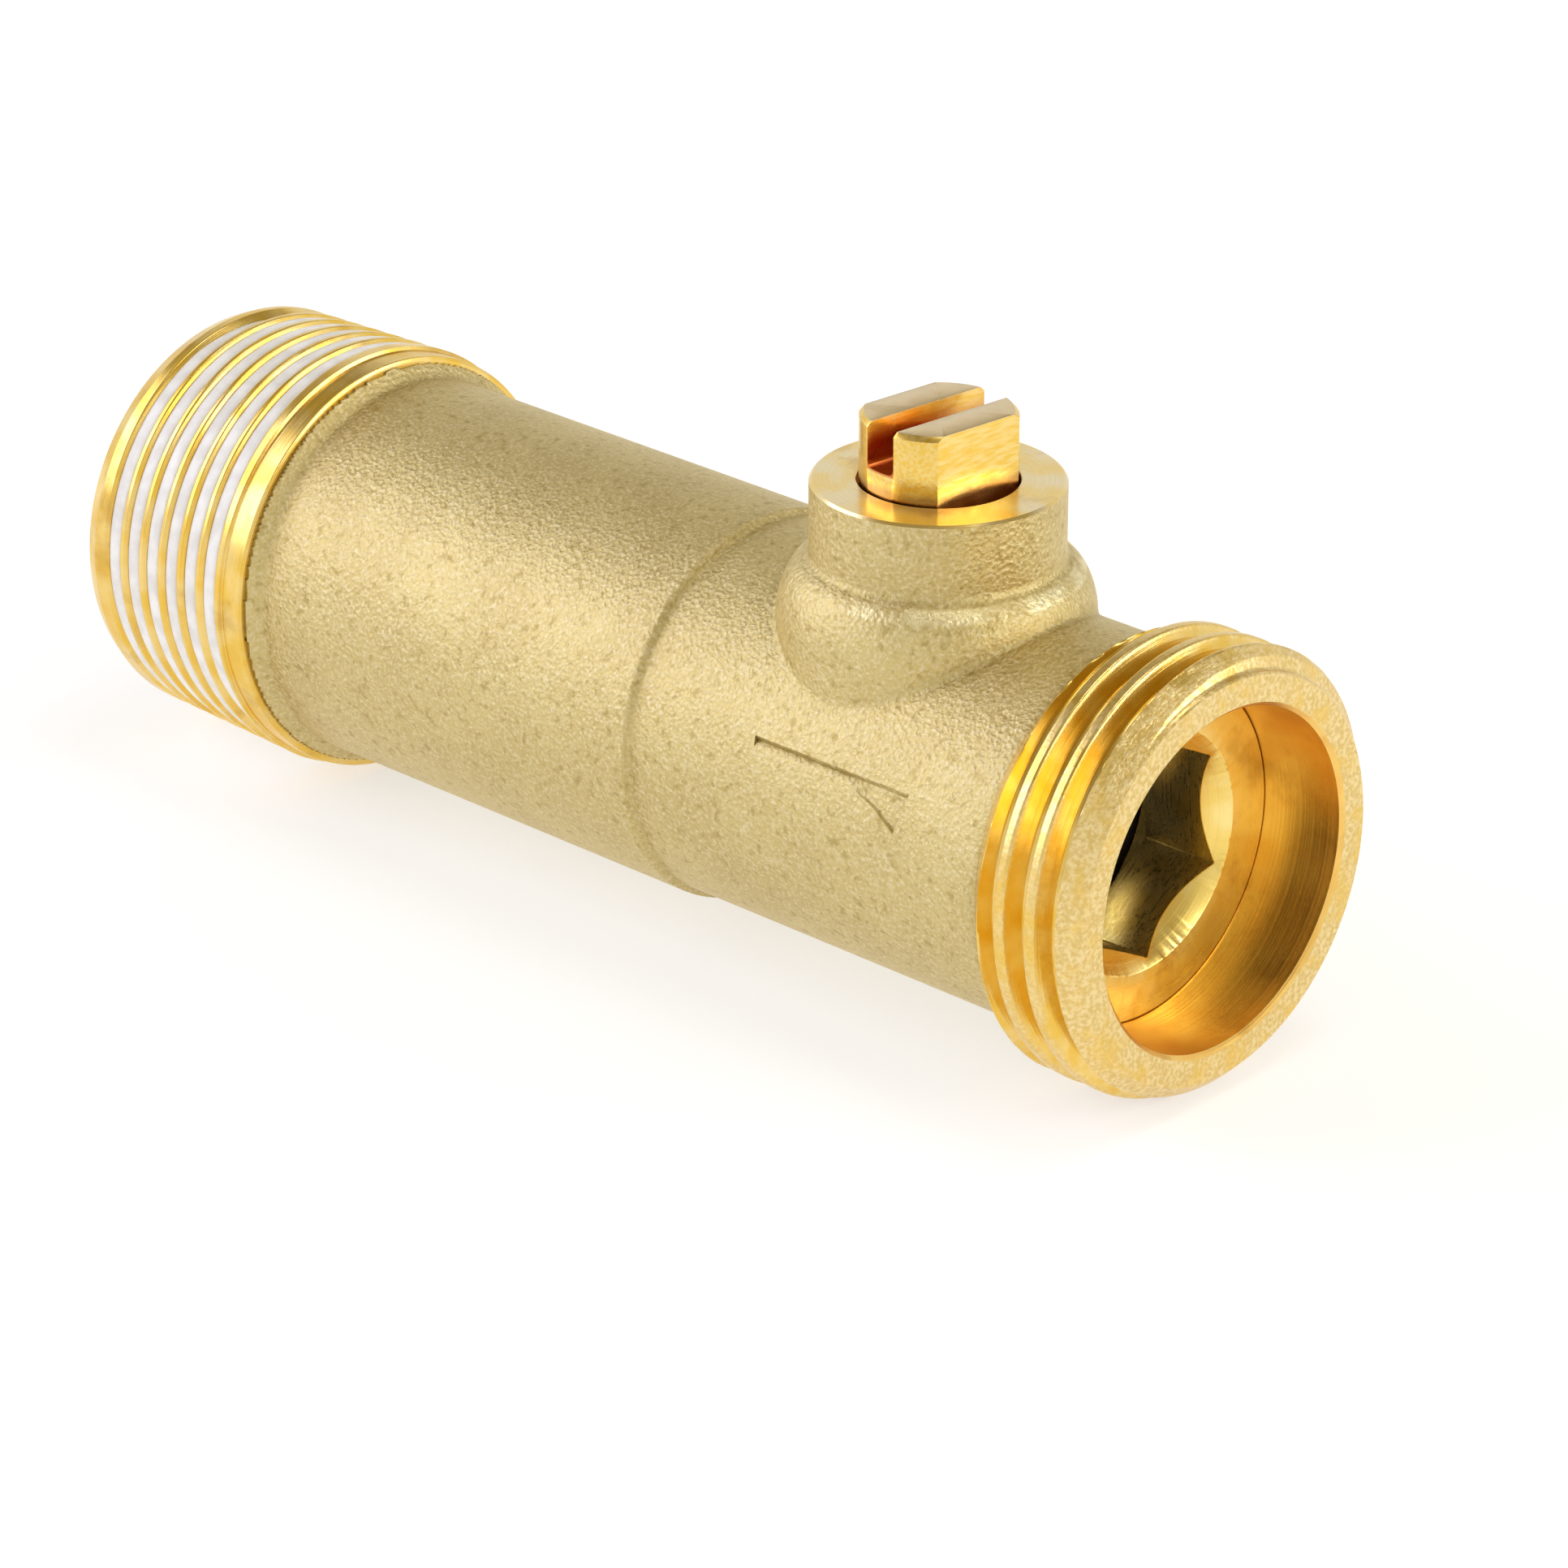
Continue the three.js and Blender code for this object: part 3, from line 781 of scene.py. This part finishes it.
def arrow_cutter():
    """The flow arrow, wrapped round the neck: a groove with a steep upper side and a gentle lower one, that
    widens below into half an arrowhead at its outlet end."""
    shank = -0.25
    lower = refined(
        [
            (ARROW_START_X, shank),
            (ARROW_TIP_X - ARROW_HEAD, shank),
            (ARROW_TIP_X - ARROW_HEAD / 2, -ARROW_MIDDLE_DROP),
            (ARROW_TIP_X - ARROW_LINE, -ARROW_DROP),
            (ARROW_TIP_X, shank),
        ],
        0.4,
    )
    lower = [(ARROW_START_X - 0.1, ARROW_LINE - 0.1), *lower, (ARROW_TIP_X + 0.1, ARROW_LINE - 0.1)]
    points = []
    for x, low in lower:
        step = ARROW_STEP * smoothstep(shank - low, 0.0, 0.5)
        depth = ARROW_DEPTH if ARROW_START_X <= x <= ARROW_TIP_X else 0.0
        middle = max(low + 0.1, ARROW_LINE - 0.25)
        across = [
            (low - 0.1, -0.5),
            (low, -0.01),
            (min(low + 0.12, middle - 0.02), step),
            (middle, depth),
            (ARROW_LINE, 0.0),
            (ARROW_LINE + 0.1, -0.5),
        ]
        for along, sunk in across:
            angle = ARROW_ANGLE + along / NECK_R
            radius = NECK_R - sunk
            points.append((x, -radius * math.cos(angle), radius * math.sin(angle)))
    count = len(across)
    faces = grid_faces(len(lower), count, close_columns=True)
    faces.append(tuple(range(count)))
    faces.append(tuple(range((len(lower) - 1) * count, len(lower) * count)))
    return make_object("arrow_cutter", points, faces, BLASTED)


def valve_body():
    body = forging()
    combine(body, boss_facing(), "DIFFERENCE")
    combine(body, arrow_cutter(), "DIFFERENCE")
    combine(body, inlet_end(), "UNION")
    combine(body, hose_end(), "UNION")
    combine(body, waterway(), "DIFFERENCE")
    combine(body, stem_passage(), "DIFFERENCE")
    shade(body)
    return body


# ---- sealant ----


def thread_sealant():
    """White compound laid in the inlet groove, thinning out at both ends."""
    first_turn, last_turn = 1.12, 6.75
    deep, shoulder, top = 0.85, 0.25, 0.16  # depths below the crest
    narrow, wide = 0.3, 0.58
    half = [(narrow, top), (wide, shoulder), (narrow, deep)]
    section = rounded([*((-x, depth) for x, depth in reversed(half)), *half], 0.15, steps=3)
    steps = int((last_turn - first_turn) * 180)
    points = []
    for i in range(steps + 1):
        turn = first_turn + (last_turn - first_turn) * i / steps
        ends = min(1.0, (turn - first_turn) / 0.2 + 0.05, (last_turn - turn) / 0.2 + 0.05)
        for offset, depth in section:
            x = INLET_PITCH * turn + offset * ends
            sunk = deep + (depth - deep) * ends
            radius = inlet_crest(x) - sunk
            points.append((x, radius * math.cos(turn * TURN), radius * math.sin(turn * TURN)))
    count = len(section)
    faces = grid_faces(steps + 1, count, close_columns=True)
    faces.append(tuple(range(count)))
    faces.append(tuple(range(steps * count, (steps + 1) * count)))
    made = make_object("thread_sealant_skin", points, faces, sealant_material())
    shade(made, 50)
    return made


# ---- stem ----


def stem_material():
    """Brushed brass, with red painted shade inside the slot and brown painted shade where it goes into the
    boss.
    """
    n = Nodes("stem_brass")
    x, y, z = n.axes()
    brushed = n.add("ShaderNodeMapping")
    brushed.inputs["Rotation"].default_value = (math.radians(35), 0.0, 0.0)
    brushed.inputs["Scale"].default_value = (1.0, 0.15, 1.0)
    n.link(n.place, brushed.inputs["Vector"])
    strokes = n.noise(0.22, detail=4.0, at=brushed.outputs[0])
    tint = n.noise(1.5, detail=3.0)
    tone = n.mix(n.ramp(strokes, 0.35, 0.65), GOLD, GOLD_PALE)
    top = n.ramp(z, (STEM_TOP_Z - 0.05) * MM, STEM_TOP_Z * MM)
    topped = n.mix(top, tone, STEM_TOP)
    across = n.math(
        "ADD",
        n.math("MULTIPLY", n.math("SUBTRACT", x, STEM_X * MM), math.cos(HEAD_TURN)),
        n.math("MULTIPLY", y, math.sin(HEAD_TURN)),
    )
    slot_wall = SLOT_WIDTH / 2
    in_slot = n.ramp(n.math("ABSOLUTE", across), slot_wall * MM, (slot_wall + 0.05) * MM, 1.0, 0.0)
    above_floor = n.ramp(z, (SLOT_FLOOR_Z - 0.2) * MM, SLOT_FLOOR_Z * MM)
    # painted shade: the red grows towards the slot floor
    depth = n.ramp(z, (SLOT_FLOOR_Z + 0.8) * MM, (STEM_TOP_Z - 0.3) * MM, 1.0, 0.15)
    red = n.math("MULTIPLY", n.math("MULTIPLY", in_slot, above_floor), depth)
    slot_shaded = n.mix(red, topped, SLOT_PAINTED_SHADE)
    # painted shade: darker brown at the stem's foot where it goes into the boss
    foot_shade_top = n.math("ADD", (BOSS_TOP_Z + 0.5) * MM, n.math("MULTIPLY", tint, 0.9 * MM))
    foot_shade = n.ramp(n.math("SUBTRACT", foot_shade_top, z), 0.0, 0.7 * MM)
    stained = n.mix(foot_shade, slot_shaded, STEM_FOOT_SHADE)
    normal = n.bump(strokes, 0.012, 0.6)
    return n.finish(stained, n.ramp(tint, 0.3, 0.7, 0.2, 0.32), normal)


def stem():
    brass = stem_material()
    flange_top = WASHER_LOW.z - FIT_GAP
    flange_bottom = flange_top - FLANGE_HEIGHT
    grooves = []
    for z in GROOVES_Z:
        top = z + GROOVE_WIDTH
        grooves += [(z, STEM_R), (z, GROOVE_R), (top, GROOVE_R), (top, STEM_R)]
    outline = [
        (flange_bottom, 0),
        (flange_bottom, FLANGE_R),
        (flange_top, FLANGE_R),
        (flange_top, STEM_R),
        *grooves,
        (STEM_TOP_Z - STEM_TOP_CHAMFER, STEM_R),
        (STEM_TOP_Z, STEM_R - STEM_TOP_CHAMFER),
        (STEM_TOP_Z, 0),
    ]
    made = turned("stem_skin", outline, brass, axis="Z", sides=96)
    left, right = STEM_X - TANG_REACH, STEM_X + TANG_REACH
    section = [(left, -TANG_HALF), (right, -TANG_HALF), (right, TANG_HALF), (left, TANG_HALF)]
    tang_top = flange_top - 0.3  # inside the flange
    combine(made, prism("tang", section, STEM_LOW.z, tang_top, brass, axis="Z"), "UNION")
    half, reach, above = STEM_FLATS / 2, STEM_R + 1, STEM_TOP_Z + 1
    flat = [
        (half, STEM_FLATS_BOTTOM_Z),
        (reach, STEM_FLATS_BOTTOM_Z),
        (reach, above),
        (half, above),
    ]
    other_flat = [(-x, z) for x, z in flat]
    wall = SLOT_WIDTH / 2
    slot = rounded([(-wall, above), (-wall, SLOT_FLOOR_Z), (wall, SLOT_FLOOR_Z), (wall, above)], SLOT_ROUND)
    for cut in (flat, slot, other_flat):
        cutter = prism("cutter", cut, -reach, reach, brass, axis="Y")
        cutter.data.transform(Matrix.Translation((STEM_X * MM, 0, 0)) @ Matrix.Rotation(HEAD_TURN, 4, "Z"))
        combine(made, cutter, "DIFFERENCE")
    soften(made, 0.07)
    shade(made, 25)
    return made


# ---- ball retainer ----


def ball_retainer():
    face, back = RETAINER_HIGH.x, RETAINER_LOW.x
    outer = OUTLET_BORE_R - RETAINER_GAP
    over = 1.0
    outline = rounded([(back, 0), (back, outer), (face, outer), (face, 0)], 0.12)
    made = turned("ball_retainer_skin", outline, RETAINER, sides=240)
    corner_r = SOCKET_FLATS / math.sqrt(3)
    angles = [math.radians(SOCKET_TURN + 60 * i) for i in range(6)]
    hexagon = [(corner_r * math.cos(a), corner_r * math.sin(a)) for a in angles]
    combine(made, prism("socket", hexagon, back - over, face + over, RETAINER), "DIFFERENCE")
    lead_in = [(face - LEAD_IN_R, 0), (face + over, LEAD_IN_R + over), (face + over, 0)]
    combine(made, turned("lead_in", lead_in, RETAINER, sides=240), "DIFFERENCE")
    relief = [(back - over, 0), (back - over, RELIEF_R), (back + 1, RELIEF_R), (back + 1, 0)]
    combine(made, turned("relief", relief, RETAINER, sides=240), "DIFFERENCE")
    soften(made, 0.05)
    shade(made, 25)
    return made


# ---- ball, seats and seals ----


def ball():
    chrome = plain_material(
        "chrome", colour(0.62, 0.63, 0.65), colour(0.50, 0.51, 0.53), 0.08, 1.0, 0.8, 0.002
    )
    steps = 80
    angles = [math.pi * i / steps for i in range(steps + 1)]
    outline = [(STEM_X - BALL_R * math.cos(a), BALL_R * math.sin(a)) for a in angles]
    made = turned("ball_skin", outline, chrome)
    sides = 120
    angles = [TURN * i / sides for i in range(sides)]
    bore = [(STEM_X + BALL_BORE_R * math.cos(a), BALL_BORE_R * math.sin(a)) for a in angles]
    outside = BALL_R + 1
    combine(made, prism("bore", bore, -outside, outside, chrome, axis="Y"), "DIFFERENCE")
    half, floor = BALL_SLOT_HALF, BALL_SLOT_FLOOR_Z
    slot = [(-half, floor), (half, floor), (half, outside), (-half, outside)]
    combine(made, prism("slot", slot, STEM_X - BALL_R, STEM_X + BALL_R, chrome), "DIFFERENCE")
    soften(made, 0.12)
    shade(made, 30)
    return made


def seat(node, side, material):
    """Seat ring on one side of the ball: side is -1 at the inlet and 1 at the outlet."""
    radii = np.linspace(SEAT_BORE_R, SEAT_LIP_R, 6)
    lip = [(math.sqrt(SEAT_FACE_R**2 - r**2), r) for r in radii]
    front = [(SEAT_START, SEAT_INNER_R), (SEAT_START, SEAT_R)]
    back = [(SEAT_END, SEAT_R), (SEAT_END, SEAT_BORE_R)]
    outline = [*lip, *front, *back, lip[0]]
    return turned(node + "_skin", [(STEM_X + side * x, r) for x, r in outline], material)


def ring(node, outline, material):
    """A ring about the stem axis."""
    return turned(node + "_skin", outline, material, axis="Z")


def o_ring(node, material):
    low, high = size_of(node)
    middle_z = (low.z + high.z) / 2
    sides = 24
    angles = [TURN * i / sides for i in range(sides + 1)]
    outline = [(middle_z + CORD_R * math.sin(a), CORD_MIDDLE_R + CORD_R * math.cos(a)) for a in angles]
    return ring(node, outline, material)


def thrust_washer(node, material):
    low, high = WASHER_LOW.z, WASHER_HIGH.z
    outline = [(low, WASHER_BORE_R), (low, WASHER_R), (high, WASHER_R), (high, WASHER_BORE_R)]
    return ring(node, [*outline, outline[0]], material)


def place(made, node, body, slot, angle=None):
    """Puts a finished piece in its CAD node's place, shading it first where an angle is given."""
    if angle:
        shade(made, angle)
    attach(made, body)
    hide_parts(node)


def build_valve():
    filled_ptfe = plain_material(
        "filled_ptfe", colour(0.055, 0.05, 0.045), colour(0.03, 0.028, 0.025), 0.5, 0.0, 0.5, 0.01
    )
    white_ptfe = plain_material(
        "white_ptfe", colour(0.8, 0.79, 0.76), colour(0.7, 0.69, 0.66), 0.45, 0.0, 0.5, 0.01
    )
    rubber = plain_material(
        "rubber", colour(0.02, 0.02, 0.02), colour(0.012, 0.012, 0.012), 0.6, 0.0, 0.3, 0.01
    )
    place(valve_body(), "valve_body", "housing", "forged_brass")
    place(thread_sealant(), "thread_sealant", "housing", "thread_sealant")
    place(ball_retainer(), "ball_retainer", "housing", "machined_brass")
    place(seat("inlet_seat", -1, filled_ptfe), "inlet_seat", "housing", "seat_ptfe", 30)
    place(seat("outlet_seat", 1, filled_ptfe), "outlet_seat", "housing", "seat_ptfe", 30)
    washer = thrust_washer("stem_thrust_washer", white_ptfe)
    place(washer, "stem_thrust_washer", "housing", "washer_ptfe", 30)
    place(stem(), "stem", "stem_unit", "machined_brass")
    for node in ("stem_o_ring_lower", "stem_o_ring_upper"):
        place(o_ring(node, rubber), node, "stem_unit", "seal_rubber", 60)
    place(ball(), "ball", "ball_unit", "plated_ball")


# ---- studio ----


def studio_floor():
    n = Nodes("studio_floor")
    mottle = n.noise(60.0, detail=1.0)
    tone = n.mix(mottle, colour(0.5, 0.5, 0.5), colour(0.54, 0.54, 0.54))
    material = n.finish(tone, 0.9, metallic=0.0, Emission_Color=colour(1, 1, 1), Emission_Strength=0.58)
    size = 2000.0
    z = BODY_LOW.z - 0.05
    corners = [(-size, -size, z), (size, -size, z), (size, size, z), (-size, size, z)]
    made = make_object("studio_floor", corners, [(0, 1, 2, 3)], material)


def softbox(name, azimuth, elevation, distance, width, height, brightness, tint=(1, 1, 1)):
    """Rectangular light aimed at the valve. Azimuth 0 is on the -Y side and 90 on the +X side.
    Brightness is what a mirror shows of it, with 1 as white."""
    light = bpy.data.lights.new(name, "AREA")
    light.shape = "RECTANGLE"
    light.size, light.size_y = width * MM, height * MM
    light.energy = brightness * math.pi * light.size * light.size_y
    light.color = tint
    made = bpy.data.objects.new(name, light)
    bpy.context.scene.collection.objects.link(made)
    a, e = math.radians(azimuth), math.radians(elevation)
    away = Vector((math.sin(a) * math.cos(e), -math.cos(a) * math.cos(e), math.sin(e)))
    centre = (BODY_LOW + BODY_HIGH) / 2 * MM
    made.location = centre + away * distance * MM
    made.rotation_euler = (-away).to_track_quat("-Z", "Y").to_euler()


def studio_world():
    """White surroundings up to the top of the sweep, and a dim warm ceiling above."""
    world = bpy.data.worlds.new("studio")
    world.use_nodes = True
    nodes, links = world.node_tree.nodes, world.node_tree.links
    direction = nodes.new("ShaderNodeTexCoord")
    parts = nodes.new("ShaderNodeSeparateXYZ")
    height = nodes.new("ShaderNodeMapRange")
    height.interpolation_type = "SMOOTHSTEP"
    sweep_top, ceiling = math.radians(24), math.radians(44)
    height.inputs["From Min"].default_value = math.sin(sweep_top)
    height.inputs["From Max"].default_value = math.sin(ceiling)
    tone = nodes.new("ShaderNodeMix")
    tone.data_type = "RGBA"
    tone.inputs["A"].default_value = colour(0.9, 0.89, 0.85)
    tone.inputs["B"].default_value = colour(0.36, 0.32, 0.22)
    links.new(direction.outputs["Generated"], parts.inputs[0])
    links.new(parts.outputs["Z"], height.inputs["Value"])
    links.new(height.outputs[0], tone.inputs["Factor"])
    links.new(tone.outputs["Result"], nodes["Background"].inputs["Color"])
    bpy.context.scene.world = world


def camera():
    azimuth, elevation = math.radians(43.64), math.radians(24.52)
    off_centre = Vector((6.58, 0.34, -9.39)) * MM
    aim = (Vector(CAD_BOX[0]) + Vector(CAD_BOX[1])) / 2 + off_centre
    distance = 381.9 * MM
    data = bpy.data.cameras.new("camera")
    data.sensor_width = 36
    data.lens = 147.07
    made = bpy.data.objects.new("camera", data)
    bpy.context.scene.collection.objects.link(made)
    away = Vector(
        (
            math.sin(azimuth) * math.cos(elevation),
            -math.cos(azimuth) * math.cos(elevation),
            math.sin(elevation),
        )
    )
    made.location = aim + away * distance
    made.rotation_euler = (-away).to_track_quat("-Z", "Y").to_euler()
    bpy.context.scene.camera = made


build_valve()
studio_floor()
studio_world()
softbox("key", -52, 30, 600, 520, 420, 2.1, (0.96, 0.99, 1.3))
softbox("outlet_fill", 112, 20, 600, 460, 220, 3.9)
softbox("overhead", 125, 76, 500, 240, 200, 3.2)
camera()
bpy.context.scene.view_settings.view_transform = "Standard"
